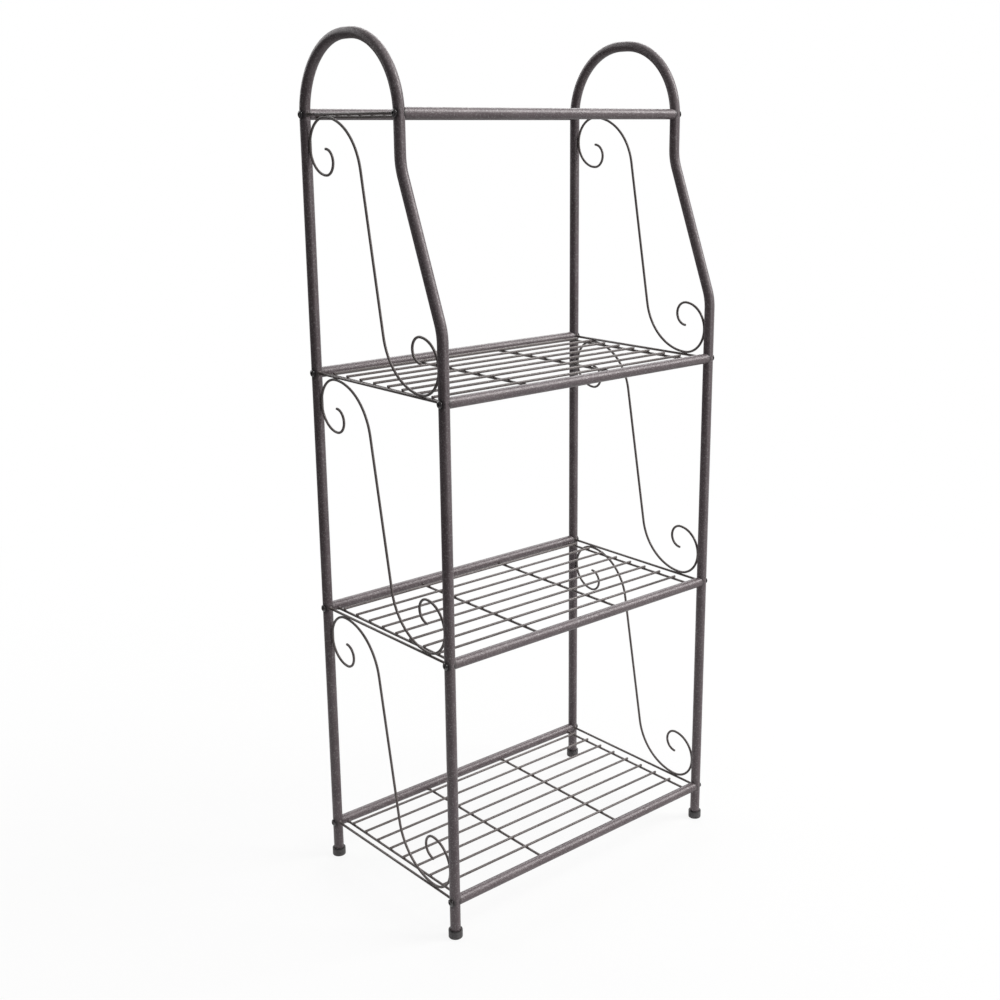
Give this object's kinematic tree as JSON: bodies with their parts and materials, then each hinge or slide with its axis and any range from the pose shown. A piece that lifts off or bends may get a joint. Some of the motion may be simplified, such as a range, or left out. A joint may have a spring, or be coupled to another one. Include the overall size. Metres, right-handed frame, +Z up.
{
  "type": "tiered plant stand",
  "caption": "Free-standing tiered plant stand: bent tube side frames with arched tops and wire scrolls, joined by screwed wire shelves.",
  "frame": {"origin": "centre of the stand's footprint, on the floor", "axes": "+X to the right along the rails, -Y to the front where the legs slope, +Z up"},
  "size_m": [0.5576, 0.3376, 1.3135],
  "materials": {
    "coated_tube": "hammered bronze-grey powder coat, satin",
    "coated_wire": "bronze-grey powder coat, satin",
    "screw_steel": "blackened steel, satin",
    "insert_steel": "zinc plated",
    "foot_plastic": "matt black plastic"
  },
  "bodies": {
    "root": {"left_back_foot_cap": "foot_plastic", "left_front_foot_cap": "foot_plastic", "left_lower_rung": "coated_wire", "left_lower_scroll": "coated_wire", "left_middle_rung": "coated_wire", "left_middle_scroll": "coated_wire", "left_side_tube": "coated_tube", "left_top_rung": "coated_wire", "left_upper_rung": "coated_wire", "left_upper_scroll": "coated_wire", "lower_back_rail": "coated_tube", "lower_cross_wires": "coated_wire", "lower_deck_wires": "coated_wire", "lower_end_wires": "coated_wire", "lower_front_rail": "coated_tube", "lower_inserts": "insert_steel", "lower_screws": "screw_steel", "middle_back_rail": "coated_tube", "middle_cross_wires": "coated_wire", "middle_deck_wires": "coated_wire", "middle_end_wires": "coated_wire", "middle_front_rail": "coated_tube", "middle_inserts": "insert_steel", "middle_screws": "screw_steel", "right_back_foot_cap": "foot_plastic", "right_front_foot_cap": "foot_plastic", "right_lower_rung": "coated_wire", "right_lower_scroll": "coated_wire", "right_middle_rung": "coated_wire", "right_middle_scroll": "coated_wire", "right_side_tube": "coated_tube", "right_top_rung": "coated_wire", "right_upper_rung": "coated_wire", "right_upper_scroll": "coated_wire", "top_back_rail": "coated_tube", "top_cross_wires": "coated_wire", "top_deck_wires": "coated_wire", "top_end_wires": "coated_wire", "top_front_rail": "coated_tube", "top_inserts": "insert_steel", "top_screws": "screw_steel", "upper_back_rail": "coated_tube", "upper_cross_wires": "coated_wire", "upper_deck_wires": "coated_wire", "upper_end_wires": "coated_wire", "upper_front_rail": "coated_tube", "upper_inserts": "insert_steel", "upper_screws": "screw_steel"}
  },
  "joints": []
}
